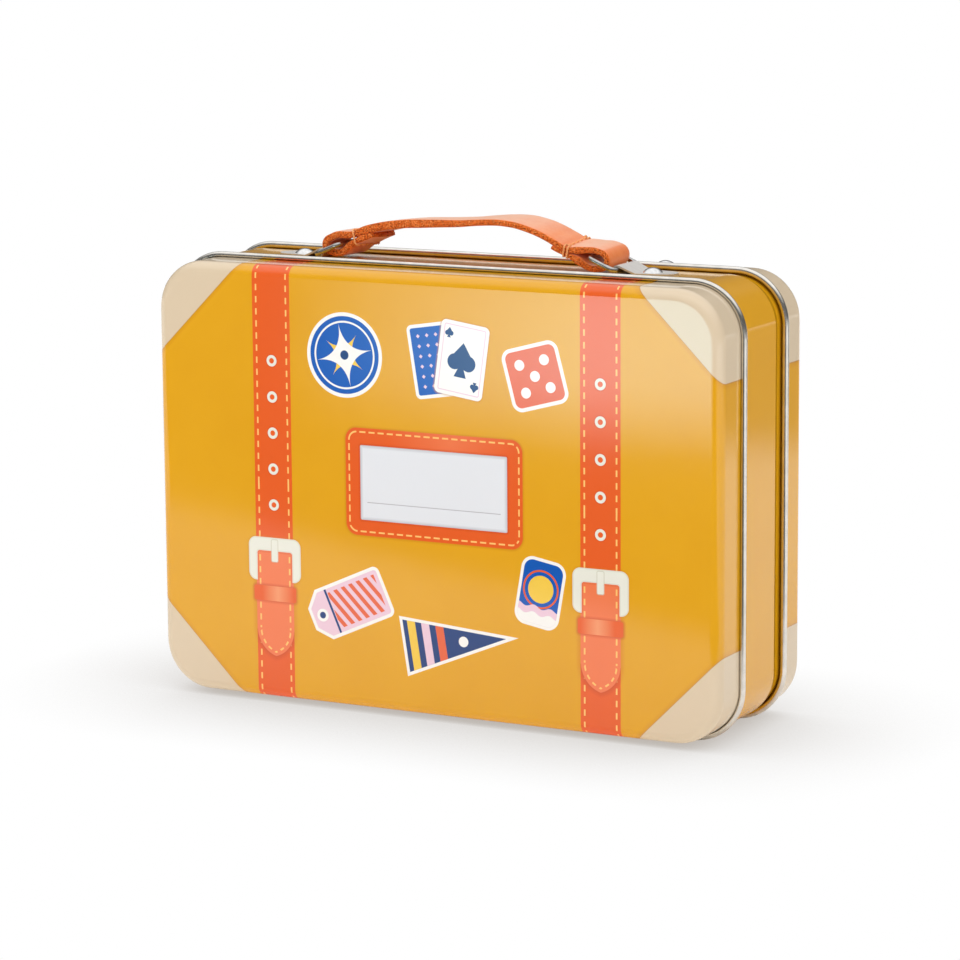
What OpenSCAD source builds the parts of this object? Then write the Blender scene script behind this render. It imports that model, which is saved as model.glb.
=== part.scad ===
// Suitcase-shaped game tin: a front cover that is the hinged lid, a body band, a rear cover,
// and a leather handle on two wire rings. X is the width, the front faces -Y and Z is up.
// The origin lies under the middle of the tin, at the height that its curled rims stand on.

/* [Tin] */
// Width of both covers, without the curled rims
tin_w = 200; // [170:1:240]
// Height of both covers, without the curled rims
tin_h = 141; // [115:1:172]
// Depth from the front face to the rear face
tin_d = 62.5; // [55:0.5:80]
// Radius of the four corners, seen from the front
corner_r = 16; // [12:0.5:24]
// Radius where a flat face turns into its skirt
edge_r = 3.5; // [2:0.25:5]
// Thickness of the tinplate
sheet = 0.4; // [0.3:0.05:0.6]

/* [Covers] */
// Depth of the front cover, from its face to the middle of its curl
lid_depth = 15.3; // [13:0.1:18]
// Depth of the rear cover, from its face to the middle of its curl
rear_depth = 15.3; // [13:0.1:18]
// How far a curled rim stands out from its skirt
curl_out = 1.7; // [1.4:0.1:2.2]
// Slit between the end of a curl and the skirt
curl_slit = 0.3; // [0.2:0.05:0.5]

/* [Body band] */
// How far the band reaches into the front cover, from the middle of its curl
band_reach = 8; // [5:0.5:9]
// Least gap between the band and the front cover while the lid swings
lid_clear = 0.25; // [0.15:0.05:0.5]
// Length of the slope behind the front neck
front_slope = 1.8; // [1.5:0.1:3]
// How far the rear slope starts in front of the rear cover's curl
crease_back = 5.2; // [4.5:0.1:9]
// Length of the rear slope
rear_slope = 3.6; // [2:0.1:4]
// Depth of the rear slope
rear_neck = 1.0; // [0.8:0.1:1.5]
// Length of the land that seats in the rear cover
land_l = 8; // [6:0.5:9]
// Length of the slope in front of that land
land_slope = 1.2; // [0.8:0.1:2]
// Gap between the land and the rear cover's rounded edge
edge_gap = 0.5; // [0.2:0.1:1]

/* [Hinges] */
// Distance of each hinge from the middle of the tin
hinge_x = 50; // [30:1:65]
// Width of a hinge
hinge_w = 18; // [14:0.5:24]
// Width of the middle knuckle, on the band's leaf
knuckle_w = 7.4; // [5:0.2:9]
// Outside diameter of a knuckle
knuckle_d = 2.0; // [1.8:0.1:2.4]
// Diameter of the hinge pin
pin_d = 1.0; // [0.8:0.05:1.1]
// Gap round the pin in the lid's knuckles
pin_clear = 0.05; // [0.02:0.01:0.08]
// Gap between neighbouring knuckles
knuckle_gap = 0.2; // [0.15:0.05:0.4]
// Gap between a knuckle and what it turns past
hinge_gap = 0.2; // [0.15:0.05:0.3]
// Height of the knuckles above what the tin stands on
hinge_lift = 0.3; // [0.2:0.05:0.4]
// Thickness of a hinge leaf
leaf_t = 0.5; // [0.4:0.05:0.6]
// Length of a hinge leaf from the pin
leaf_l = 11.5; // [10.5:0.5:12]
// Distance of the leaf's rivets from the pin
leaf_rivet_y = 8; // [7:0.25:8.5]
// Spacing of the two rivets of a leaf
leaf_rivet_step = 10; // [8:0.5:11]

/* [Rivets] */
// Diameter of the large domed heads
head_d = 6.4; // [5:0.1:7]
// Height of the large domed heads
head_h = 1.5; // [1:0.1:1.6]
// Shank diameter of the large rivets
shank_d = 3.0; // [2:0.1:3.4]
// Diameter of the set tail inside the tin
tail_d = 4.6; // [4:0.1:5.5]
// Height of the set tail inside the tin
tail_h = 0.8; // [0.6:0.1:1.2]
// Distance of the rear cover's rivets from the middle
rear_rivet_x = 56; // [40:1:70]
// Diameter of the washers under the band's top
washer_d = 8; // [6:0.5:9]
// Thickness of those washers
washer_t = 0.6; // [0.4:0.1:1]
// Head diameter of the small hinge rivets
small_head_d = 2.8; // [2.2:0.1:3.2]
// Head height of the small hinge rivets
small_head_h = 0.7; // [0.5:0.05:0.9]
// Shank diameter of the small hinge rivets
small_shank_d = 1.4; // [1:0.1:1.6]
// Gap round a shank in its hole
shank_clear = 0.05; // [0.02:0.01:0.1]

/* [Handle] */
// Distance from the middle to each hanger's rivet
hanger_x = 62.5; // [55:0.5:66]
// Distance from a hanger's rivet to the bar that its ring turns on
eye_back = 9.1; // [8.4:0.1:11]
// Thickness of the hanger plate
plate_t = 0.6; // [0.4:0.05:0.8]
// Width of the hanger plate at the ring
plate_w = 13.6; // [11:0.2:14]
// Width of the hanger plate at its outer end
plate_end_w = 9.2; // [8:0.2:11]
// Length of the plate beyond the rivet
plate_end = 8.5; // [7:0.25:10]
// Diameter of the ring's wire
wire_d = 1.6; // [1.2:0.1:2]
// Gap between the wire and the rolled eye
wire_clear = 0.1; // [0.05:0.01:0.1]
// Angle below the level at which the rolled eye ends
eye_open = 60; // [50:5:70]
// Gap between the plate's bend and the rivet's head
bend_gap = 0.4; // [0.2:0.1:0.6]
// Distance between the two long bars of a ring
ring_l = 9.4; // [9:0.1:11]
// Radius of a ring's corners, at the middle of the wire
ring_r = 1.8; // [1.4:0.1:2]
// Slope of the rings when the handle lies down
ring_tilt = 22.5; // [20:0.5:26]
// Width of the leather strap
strap_w = 15; // [14.5:0.5:18]
// Gap between the strap's edge and the ring's side bars
strap_side = 0.8; // [0.6:0.1:1.2]
// Thickness of the leather
strap_t = 2.5; // [2:0.1:2.8]
// Height of the arch above the band
arch_h = 15.4; // [13:0.2:24]
// Half length of the level part of the arch
arch_flat = 14; // [10:0.5:18]
// Outside radius of the fold at each end
fold_r = 4.3; // [4.1:0.1:4.6]
// Gap between the resting fold and the band
fold_rest = 0.3; // [0.2:0.05:0.5]
// Gap between the fold and the rolled eye
fold_gap = 1.0; // [0.6:0.1:1.5]
// Distance from the fold's middle to the foot of the arch
arch_foot = 5.6; // [5:0.2:7]
// How far the folded end runs back under the strap
flap_l = 20; // [17:0.5:24]
// How far the folded end rises towards the strap
flap_rise = 6.3; // [5.5:0.1:7]
// Distance from the fold's middle to where the folded end starts to rise
flap_start = 3.6; // [3:0.2:5]
// Distance from the fold's middle to where it lies against the strap
flap_stop = 13.1; // [12:0.1:15]
// Width of a turn of stitching thread
thread_d = 0.9; // [0.6:0.1:1.1]
// Thickness of the stitching thread
thread_t = 0.6; // [0.4:0.1:0.8]
// Gap between the thread and the leather
thread_seat = 0.1; // [0.05:0.05:0.2]
// Distance of the stitches from the end of the fold
stitch_back = 14.4; // [13:0.2:17]
// Distance between the two turns of a stitch
stitch_step = 1.3; // [1.2:0.1:2]

/* [Hidden] */
$fn = 64;
over = 1;                                       // how far a cut runs past what it cuts
lap = 0.01;                                     // how far joined shapes reach into each other
print_yellow = "#E5A625";
tin_silver = "#C9CBCC";
leather_coral = "#EA652B";
thread_gold = "#FFC06A";

front_y = -tin_d / 2;
rear_y = tin_d / 2;
mid_z = curl_out + tin_h / 2;
skirt_top = curl_out + tin_h;                   // outside of the top skirts and of the band
skirt_bottom = curl_out;
curl_r = (curl_out + sheet) / 2;

lid_curl_y = front_y + lid_depth;
rear_curl_y = rear_y - rear_depth;
hinge_y = lid_curl_y + curl_r + hinge_gap + knuckle_d / 2;
hinge_z = hinge_lift + knuckle_d / 2;
swing_back = hinge_y - lid_curl_y + band_reach; // from the pin to the band's front edge
front_neck = sheet + lid_clear + pow(swing_back, 2) / (2 * tin_h);

// The band's section as [depth from the front face, inset from the covers' outside]
neck_end = hinge_y + knuckle_d / 4 - front_y;
crease = rear_curl_y - curl_r - crease_back - front_y;
land_end = tin_d - edge_r - edge_gap;
band_steps = [
    [lid_depth - band_reach, front_neck], [neck_end, front_neck],
    [neck_end + front_slope, 0], [crease, 0],
    [crease + rear_slope, rear_neck], [land_end - land_l - land_slope, rear_neck],
    [land_end - land_l, sheet], [land_end, sheet]];
land_y = front_y + land_end - land_l / 2;

eye_r = wire_d / 2 + wire_clear + plate_t;
eye_x = hanger_x - eye_back;
eye_z = skirt_top + eye_r;
ring_w = strap_w + 2 * strap_side + wire_d;     // between the middles of the side bars
fold_x = eye_x - eye_r - fold_gap - fold_r;
fold_z = fold_rest + fold_r;
fold_top = fold_z + fold_r;
arch_end = fold_x - arch_foot;
flap_end = fold_x + fold_r - flap_l;
flap_low = fold_x - flap_start;
flap_high = fold_x - flap_stop;
loop_tip = [-5.8, 1.2];                         // from the middle of the fold
stitch_x = fold_x + fold_r - stitch_back;

// ---- sweeps round the outline ----

// Carries a section round a rounded rectangle; the section's x is measured from the corner's middle
module round_outline(r) {
    for (i = [0:3]) {
        along = i % 2 == 0 ? tin_h : tin_w;
        across = i % 2 == 0 ? tin_w : tin_h;
        rotate([0, 0, 90 * i]) translate([across / 2 - r, along / 2 - r, 0]) {
            rotate_extrude(angle = 90, $fn = 96) children();
            rotate([90, 0, 0]) linear_extrude(along - 2 * r) children();
        }
    }
}

module rounded_rectangle(w, h, r) {
    square([w - 2 * r, h], center = true);
    square([w, h - 2 * r], center = true);
    for (sx = [-1, 1], sy = [-1, 1])
        translate([sx * (w / 2 - r), sy * (h / 2 - r)]) circle(r, $fn = 96);
}

// Depth runs from the front face backwards, or from the rear face forwards
module from_front() translate([0, front_y, mid_z]) mirror([0, 1, 0]) rotate([90, 0, 0]) children();
module from_rear() translate([0, rear_y, mid_z]) rotate([90, 0, 0]) children();

// Skirt with its rounded edge and its outward curl
module skirt_section(depth) {
    translate([corner_r - sheet, edge_r]) square([sheet, depth - edge_r]);
    translate([corner_r - edge_r, edge_r]) intersection() {
        difference() {
            circle(edge_r);
            circle(edge_r - sheet);
        }
        translate([0, -edge_r]) square(edge_r);
    }
    translate([corner_r - sheet + curl_r, depth]) intersection() {
        difference() {
            circle(curl_r, $fn = 48);
            circle(curl_r - sheet, $fn = 48);
        }
        union() {
            translate([-curl_r, 0]) square([2 * curl_r, curl_r]);
            translate([sheet + curl_slit - curl_r, -curl_r]) square([curl_r * 2, curl_r + lap]);
        }
    }
}

module cover_shell(depth) {
    round_outline(corner_r) skirt_section(depth);
    linear_extrude(sheet) rounded_rectangle(tin_w - 2 * edge_r, tin_h - 2 * edge_r, corner_r - edge_r);
}

// ---- rivets ----

// Domed head on the plane z = 0, with its shank below it
module domed_rivet(d, h, shank, grip) {
    ball = (d * d / 4 + h * h) / (2 * h);
    intersection() {
        translate([0, 0, h - ball]) sphere(ball, $fn = 96);
        cylinder(d = d, h = h);
    }
    translate([0, 0, -grip]) cylinder(d = shank, h = grip + h / 4);
}

module large_rivet(grip) {
    domed_rivet(head_d, head_h, shank_d, grip);
    translate([0, 0, -grip - tail_h]) cylinder(d = tail_d, h = tail_h);
}

module small_rivet() domed_rivet(small_head_d, small_head_h, small_shank_d, leaf_t + sheet);

module at_rear_rivets() {
    for (sx = [-1, 1]) {
        translate([sx * rear_rivet_x, land_y, skirt_top]) children();
        translate([sx * rear_rivet_x, land_y, skirt_bottom]) mirror([0, 0, 1]) children();
    }
}

module at_hanger_rivets(z) for (sx = [-1, 1]) translate([sx * hanger_x, 0, z]) children();

// side is -1 towards the lid and 1 towards the band
module at_leaf_rivets(side) {
    for (sx = [-1, 1], step = [-1, 1])
        translate([sx * hinge_x + step * leaf_rivet_step / 2, hinge_y + side * leaf_rivet_y,
            skirt_bottom - leaf_t]) mirror([0, 0, 1]) children();
}

module shank_hole(d, depth) {
    translate([0, 0, -depth]) cylinder(d = d + 2 * shank_clear, h = 2 * depth);
}

// ---- tin ----

module lid_cover() {
    color(print_yellow) difference() {
        from_front() cover_shell(lid_depth);
        for (sx = [-1, 1]) translate([sx * hinge_x - hinge_w / 2 - knuckle_gap * 2, 0, -over]) {
            // the curl stops short of the hinge, so that the leaf can pass
            notch_w = hinge_w + knuckle_gap * 4;
            translate([0, lid_curl_y - curl_r - hinge_gap, 0])
                cube([notch_w, 4 * curl_r, skirt_bottom + over]);
            translate([0, lid_curl_y, 0]) cube([notch_w, 4 * curl_r, skirt_bottom + over + 2 * curl_r]);
        }
        at_leaf_rivets(-1) shank_hole(small_shank_d, leaf_t + 2 * sheet);
    }
}

module body_band() {
    outside = [for (s = band_steps) [corner_r - s[1], s[0]]];
    inside = [for (i = [len(band_steps) - 1:-1:0]) [corner_r - band_steps[i][1] - sheet, band_steps[i][0]]];
    color(print_yellow) difference() {
        from_front() round_outline(corner_r) polygon(concat(outside, inside));
        at_rear_rivets() shank_hole(shank_d, 2 * curl_out);
        at_hanger_rivets(skirt_top) shank_hole(shank_d, 2 * curl_out);
        at_leaf_rivets(1) shank_hole(small_shank_d, leaf_t + 2 * sheet);
    }
}

module rear_cover() {
    color(print_yellow) difference() {
        from_rear() cover_shell(rear_depth);
        at_rear_rivets() shank_hole(shank_d, 2 * curl_out);
    }
}

module rear_cover_rivets() color(tin_silver) at_rear_rivets() large_rivet(2 * sheet);

// ---- hinges ----

// Leaf towards the lid: two outer knuckles; side is -1 for the left hinge and 1 for the right one
module lid_hinge_leaf(side) {
    end_w = (hinge_w - knuckle_w) / 2 - knuckle_gap;
    color(tin_silver) translate([side * hinge_x, 0, 0]) difference() {
        union() {
            translate([-hinge_w / 2, hinge_y - leaf_l, skirt_bottom - leaf_t])
                cube([hinge_w, leaf_l, leaf_t]);
            for (sx = [-1, 1]) translate([sx * (hinge_w - end_w) / 2, hinge_y, hinge_z])
                rotate([0, 90, 0]) cylinder(d = knuckle_d, h = end_w, center = true);
        }
        translate([-hinge_w / 2 - over, hinge_y, hinge_z]) rotate([0, 90, 0])
            cylinder(d = pin_d + 2 * pin_clear, h = hinge_w + 2 * over);
        gap_w = knuckle_w + 2 * knuckle_gap;
        translate([-gap_w / 2, hinge_y - knuckle_d / 2 - hinge_gap, 0])
            cube([gap_w, knuckle_d, 2 * knuckle_d]);
        for (step = [-1, 1]) translate([step * leaf_rivet_step / 2, hinge_y - leaf_rivet_y, skirt_bottom])
            shank_hole(small_shank_d, 2 * leaf_t);
    }
}

// Leaf towards the band: one middle knuckle
module band_hinge_leaf(side) {
    pad_y = hinge_y + knuckle_d / 2 + hinge_gap;
    color(tin_silver) translate([side * hinge_x, 0, 0]) difference() {
        union() {
            translate([-hinge_w / 2, pad_y, skirt_bottom - leaf_t])
                cube([hinge_w, hinge_y + leaf_l - pad_y, leaf_t]);
            translate([-knuckle_w / 2, hinge_y, skirt_bottom - leaf_t])
                cube([knuckle_w, leaf_l, leaf_t]);
            translate([0, hinge_y, hinge_z]) rotate([0, 90, 0])
                cylinder(d = knuckle_d, h = knuckle_w, center = true);
        }
        translate([-hinge_w / 2 - over, hinge_y, hinge_z]) rotate([0, 90, 0])
            cylinder(d = pin_d, h = hinge_w + 2 * over);
        for (step = [-1, 1]) translate([step * leaf_rivet_step / 2, hinge_y + leaf_rivet_y, skirt_bottom])
            shank_hole(small_shank_d, 2 * leaf_t);
    }
}

module hinge_pin(side) {
    color(tin_silver) translate([side * hinge_x - hinge_w / 2, hinge_y, hinge_z]) rotate([0, 90, 0])
        cylinder(d = pin_d, h = hinge_w);
}

module lid_hinge_rivets() {
    color(tin_silver) at_leaf_rivets(-1) small_rivet();
}

module band_hinge_rivets() {
    color(tin_silver) at_leaf_rivets(1) small_rivet();
}

// ---- handle ----

// The right hand side; mirrored for the left one
module on_side(side) mirror([side < 0 ? 1 : 0, 0, 0]) children();

// Sheet plate that lies on the band at its rivet and rolls round the ring's bar
module hanger(side) {
    slope = atan2(2 * eye_r - plate_t, eye_back - head_d / 2 - bend_gap);
    eye_top = eye_r * [sin(slope), cos(slope)];
    eye_in = (eye_r - plate_t) * [sin(slope), cos(slope)];
    foot = eye_top[0] + (eye_top[1] + eye_r - plate_t) / tan(slope);
    foot_in = eye_in[0] + (eye_in[1] + eye_r) / tan(slope);
    end_x = eye_back + plate_end;
    end_r = plate_end_w / 2;
    // a point inside the rolled sheet, so that the plate and the eye are one
    root = (eye_r - plate_t / 2) * [sin(slope - 10), cos(slope - 10)];
    side_view = [root, eye_top, [foot, plate_t - eye_r], [end_x, plate_t - eye_r],
        [end_x, -eye_r], [foot_in, -eye_r], eye_in];
    plan = concat([[0, plate_w / 2]],
        [for (a = [90:-10:-90]) [end_x - end_r + end_r * cos(a), end_r * sin(a)]],
        [[0, -plate_w / 2]]);
    slit = 2 * eye_r * [[0, 0], [cos(eye_open), -sin(eye_open)], [1.5, 0], [sin(slope), cos(slope)]];
    color(tin_silver) on_side(side) translate([eye_x, 0, eye_z]) difference() {
        union() {
            intersection() {
                rotate([90, 0, 0]) linear_extrude(plate_w + over, center = true) polygon(side_view);
                linear_extrude(4 * eye_r, center = true) polygon(plan);
            }
            rotate([90, 0, 0]) linear_extrude(plate_w, center = true) difference() {
                circle(eye_r);
                circle(eye_r - plate_t);
                polygon(slit);
            }
        }
        translate([eye_back, 0, plate_t - eye_r]) shank_hole(shank_d, 2 * plate_t);
    }
}

module hanger_rivets() {
    color(tin_silver) at_hanger_rivets(skirt_top + plate_t) large_rivet(plate_t + sheet + washer_t);
}

module hanger_washers() {
    color(tin_silver) at_hanger_rivets(skirt_top - sheet - washer_t) difference() {
        cylinder(d = washer_d, h = washer_t);
        shank_hole(shank_d, 2 * washer_t);
    }
}

// Rectangular loop of wire; its outer bar lies in the rolled eye
module ring(side) {
    bar = ring_w - 2 * ring_r;
    rail = ring_l - 2 * ring_r;
    color(tin_silver) on_side(side) translate([eye_x, 0, eye_z]) rotate([0, ring_tilt, 0])
        translate([-ring_l / 2, 0, 0]) {
            for (sx = [-1, 1]) translate([sx * ring_l / 2, 0, 0]) rotate([90, 0, 0])
                cylinder(d = wire_d, h = bar, center = true);
            for (sy = [-1, 1]) translate([0, sy * ring_w / 2, 0]) rotate([0, 90, 0])
                cylinder(d = wire_d, h = rail, center = true);
            for (i = [0:3]) rotate([0, 0, 90 * i])
                translate(i % 2 == 0 ? [rail / 2, bar / 2, 0] : [bar / 2, rail / 2, 0])
                    rotate_extrude(angle = 90) translate([ring_r, 0]) circle(d = wire_d);
        }
}

// Height of the strap's upper face over the band, level in the middle and down to the fold
function arch_z(x) = abs(x) < arch_flat ? arch_h
    : abs(x) > arch_end ? fold_top
    : fold_top + (arch_h - fold_top) * (1 + cos(180 * (abs(x) - arch_flat) / (arch_end - arch_flat))) / 2;

// Height of the folded end's lower face
function flap_z(x) = x > flap_low ? fold_rest
    : x < flap_high ? fold_rest + flap_rise
    : fold_rest + flap_rise * (1 - cos(180 * (flap_low - x) / (flap_low - flap_high))) / 2;

function mirrored(points) = [for (i = [len(points) - 1:-1:0]) [-points[i][0], points[i][1]]];

module handle_strap() {
    top = [for (i = [-24:24]) [i * fold_x / 24, arch_z(i * fold_x / 24)]];
    fold = [for (a = [80:-10:-80]) [fold_x + fold_r * cos(a), fold_z + fold_r * sin(a)]];
    flap_step = (fold_x - flap_end) / 12;
    flap = [for (i = [0:12]) [fold_x - i * flap_step, flap_z(fold_x - i * flap_step)]];
    under = [for (i = [12:-1:-12]) [flap_end * i / 12, arch_z(flap_end * i / 12) - strap_t]];
    right_end = concat(fold, flap);
    color(leather_coral) translate([0, 0, skirt_top]) rotate([90, 0, 0])
        linear_extrude(strap_w, center = true) difference() {
            polygon(concat(top, right_end, under, mirrored(right_end)));
            for (side = [-1, 1]) on_side(side) fold_loop();
        }
}

// The opening that the ring's inner bar lies in: a drop with its tip towards the middle
module fold_loop() {
    loop_r = fold_r - strap_t;
    lean = atan2(loop_tip[1], loop_tip[0]);
    spread = acos(loop_r / norm(loop_tip));
    turns = 28;
    round_side = [for (i = [0:turns]) let (a = lean + spread + (360 - 2 * spread) * i / turns)
        loop_r * [cos(a), sin(a)]];
    translate([fold_x, fold_z]) polygon(concat([loop_tip], round_side));
}

// Two turns of thread round both layers of the strap
module handle_stitch(side) {
    for (turn = [-1, 1]) {
        x = stitch_x + turn * stitch_step / 2;
        high = arch_z(x - thread_d / 2) + thread_seat;
        low = flap_z(x + thread_d / 2) - thread_seat;
        inner = [strap_w + 2 * thread_seat, high - low];
        color(thread_gold) on_side(side) translate([x, 0, skirt_top + (high + low) / 2])
            rotate([90, 0, 90]) linear_extrude(thread_d, center = true) difference() {
                square(inner + 2 * thread_t * [1, 1], center = true);
                square(inner, center = true);
            }
    }
}

lid_cover();
body_band();
rear_cover();
rear_cover_rivets();
lid_hinge_leaf(-1);  // lid_hinge_leaf_left
lid_hinge_leaf(1);  // lid_hinge_leaf_right
lid_hinge_rivets();
band_hinge_leaf(-1);  // band_hinge_leaf_left
band_hinge_leaf(1);  // band_hinge_leaf_right
band_hinge_rivets();
hinge_pin(-1);  // hinge_pin_left
hinge_pin(1);  // hinge_pin_right
hanger(-1);  // hanger_left
hanger(1);  // hanger_right
hanger_rivets();
hanger_washers();
ring(-1);  // ring_left
ring(1);  // ring_right
handle_strap();
handle_stitch(-1);  // handle_stitch_left
handle_stitch(1);  // handle_stitch_right
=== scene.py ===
import math
import random

import bmesh
import bpy
from mathutils import Matrix, Vector


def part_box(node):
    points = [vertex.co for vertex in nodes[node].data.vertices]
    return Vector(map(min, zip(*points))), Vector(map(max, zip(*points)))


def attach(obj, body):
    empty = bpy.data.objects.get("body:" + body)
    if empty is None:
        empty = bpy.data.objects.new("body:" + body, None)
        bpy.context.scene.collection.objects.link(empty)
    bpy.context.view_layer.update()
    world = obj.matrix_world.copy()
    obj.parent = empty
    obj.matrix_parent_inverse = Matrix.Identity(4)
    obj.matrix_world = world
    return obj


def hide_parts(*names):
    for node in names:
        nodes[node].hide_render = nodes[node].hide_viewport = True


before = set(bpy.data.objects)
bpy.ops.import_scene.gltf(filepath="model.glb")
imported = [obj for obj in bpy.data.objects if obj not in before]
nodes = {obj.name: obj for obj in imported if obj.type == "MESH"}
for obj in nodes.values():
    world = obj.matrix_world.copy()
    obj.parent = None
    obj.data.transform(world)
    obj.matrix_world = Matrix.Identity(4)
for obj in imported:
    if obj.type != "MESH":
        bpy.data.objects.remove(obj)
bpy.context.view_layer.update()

mm = 0.001


def colour(code):  # sRGB hex to linear
    parts = [int(code[i:i + 2], 16) / 255 for i in (0, 2, 4)]
    return (*[c / 12.92 if c <= 0.04045 else ((c + 0.055) / 1.055) ** 2.4 for c in parts], 1.0)


# camera

camera = {
    "azimuth": 27.89,
    "elevation": 10.12,
    "distance": 1.1831,
    "aim": (0.01788, -0.03125, 0.07934),
    "focalPixels": 3797.24,  # at the photo's 960 pixels
    "framePixels": 960,
    "sensor": 36.0,
    "roll": -0.4,
}


def makeCamera(c):
    az, el, roll = (math.radians(c[k]) for k in ("azimuth", "elevation", "roll"))
    back = Vector((math.sin(az) * math.cos(el), -math.cos(az) * math.cos(el), math.sin(el)))
    level = Vector((math.cos(az), math.sin(az), 0))
    upright = back.cross(level)
    right = level * math.cos(roll) + upright * math.sin(roll)
    up = upright * math.cos(roll) - level * math.sin(roll)
    data = bpy.data.cameras.new("shotCamera")
    data.sensor_width = c["sensor"]
    data.lens = c["focalPixels"] * c["sensor"] / c["framePixels"]
    data.clip_start, data.clip_end = 0.05, 40
    shot = bpy.data.objects.new("shotCamera", data)
    bpy.context.scene.collection.objects.link(shot)
    shot.matrix_world = Matrix.Translation(Vector(c["aim"]) + back * c["distance"]) @ Matrix(
        (right, up, back)).transposed().to_4x4()
    bpy.context.scene.camera = shot


makeCamera(camera)
print("camera is set")

# node maths: a Field is a number or a point that varies over the surface


class Field:
    def __init__(self, tree, socket):
        self.tree, self.socket = tree, socket

    def made(self, node, values, out=0):
        for slot, value in zip(node.inputs, values):
            if isinstance(value, Field):
                self.tree.links.new(value.socket, slot)
            elif value is not None:
                slot.default_value = value
        return Field(self.tree, node.outputs[out])

    def maths(self, kind, *others, clamp=False):
        node = self.tree.nodes.new("ShaderNodeMath")
        node.operation, node.use_clamp = kind, clamp
        return self.made(node, (self, *others))

    def vector(self, kind, *others):
        node = self.tree.nodes.new("ShaderNodeVectorMath")
        node.operation = kind
        out = 1 if kind in ("LENGTH", "DOT_PRODUCT") else 0
        return self.made(node, (self, *others), out)

    def __add__(self, other):
        return self.maths("ADD", other)

    def __sub__(self, other):
        return self.maths("SUBTRACT", other)

    def __mul__(self, other):
        return self.maths("MULTIPLY", other)

    def __rsub__(self, other):
        return self.maths("MULTIPLY_ADD", -1.0, other)

    def __neg__(self):
        return self.maths("MULTIPLY", -1.0)

    def __abs__(self):
        return self.maths("ABSOLUTE")

    def low(self, other):
        return self.maths("MINIMUM", other)

    def high(self, other):
        return self.maths("MAXIMUM", other)

    def under(self, other):
        return self.maths("LESS_THAN", other)

    def over(self, other):
        return self.maths("GREATER_THAN", other)

    def parts(self):
        node = self.tree.nodes.new("ShaderNodeSeparateXYZ")
        self.tree.links.new(self.socket, node.inputs[0])
        return [Field(self.tree, out) for out in node.outputs]

    def fill(self, soft=0.08):  # 1 inside a shape, 0 outside it
        return self.maths("MULTIPLY_ADD", -1 / soft, 0.5, clamp=True)

    def glow(self, reach, amount=1.0):  # fades from the shape's edge outwards
        return self.maths("MULTIPLY_ADD", -1 / reach, 1.0, clamp=True) * amount

    def noise(self, scale, detail=2.0, rough=0.5, stretch=None):
        place = self.vector("MULTIPLY", stretch) if stretch else self
        node = self.tree.nodes.new("ShaderNodeTexNoise")
        node.inputs["Scale"].default_value = scale
        node.inputs["Detail"].default_value = detail
        node.inputs["Roughness"].default_value = rough
        self.tree.links.new(place.socket, node.inputs["Vector"])
        return Field(self.tree, node.outputs[0])

    def cells(self, scale):
        node = self.tree.nodes.new("ShaderNodeTexVoronoi")
        node.inputs["Scale"].default_value = scale
        self.tree.links.new(self.socket, node.inputs["Vector"])
        return Field(self.tree, node.outputs["Distance"])

    def ramp(self, low, high, start=0.0, end=1.0):
        node = self.tree.nodes.new("ShaderNodeMapRange")
        return self.made(node, (self, low, high, start, end))


def joined(x, z):
    node = x.tree.nodes.new("ShaderNodeCombineXYZ")
    return x.made(node, (x, z, 0.0))


def placed(point, centre, turn=0.0):  # the point in the frame of a shape at centre, turned by some degrees
    node = point.tree.nodes.new("ShaderNodeMapping")
    node.vector_type = "TEXTURE"
    return point.made(node, (point, (*centre, 0), (0, 0, math.radians(turn))))


def plate(point, width, height, r):  # distance to a rounded rectangle, negative inside
    q = point.vector("ABSOLUTE").vector("SUBTRACT", (width / 2 - r, height / 2 - r, 0))
    qx, qz, _ = q.parts()
    outside = q.vector("MAXIMUM", (0, 0, 0)).vector("LENGTH")
    return outside + qx.high(qz).low(0.0) - r


def disc(point, r):
    return point.vector("LENGTH") - r


def dashes(along, pitch, duty):  # 1 on a dash
    return (along * (1 / pitch)).maths("FRACT").under(duty)


def painted(under, ink, mask):
    node = mask.tree.nodes.new("ShaderNodeMix")
    node.data_type = "RGBA"
    node.inputs[0].default_value = 1.0
    mask.tree.links.new(mask.socket, node.inputs[0])
    for slot, value in ((6, under), (7, ink)):
        if isinstance(value, Field):
            mask.tree.links.new(value.socket, node.inputs[slot])
        else:
            node.inputs[slot].default_value = value
    return Field(mask.tree, node.outputs[2])


def newMaterial(name):
    material = bpy.data.materials.new(name)
    material.use_nodes = True
    tree = material.node_tree
    shader = next(n for n in tree.nodes if n.type == "BSDF_PRINCIPLED")
    coords = tree.nodes.new("ShaderNodeTexCoord")
    place = Field(tree, coords.outputs["Object"])
    normal = Field(tree, coords.outputs["Normal"])
    return material, tree, shader, place, normal


def plug(shader, **values):
    names = {"base": "Base Color", "metal": "Metallic", "rough": "Roughness", "coat": "Coat Weight",
             "coatRough": "Coat Roughness", "sheen": "Sheen Weight", "sheenRough": "Sheen Roughness",
             "sheenTint": "Sheen Tint", "shine": "Specular IOR Level", "bump": "Normal"}
    for key, value in values.items():
        slot = shader.inputs[names[key]]
        if isinstance(value, Field):
            value.tree.links.new(value.socket, slot)
        else:
            slot.default_value = value


def bumped(height, strength, depth):  # depth in metres for a height of 1
    node = height.tree.nodes.new("ShaderNodeBump")
    node.inputs["Strength"].default_value = strength
    node.inputs["Distance"].default_value = depth
    height.tree.links.new(height.socket, node.inputs["Height"])
    return Field(height.tree, node.outputs[0])


# printed tinplate

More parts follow.
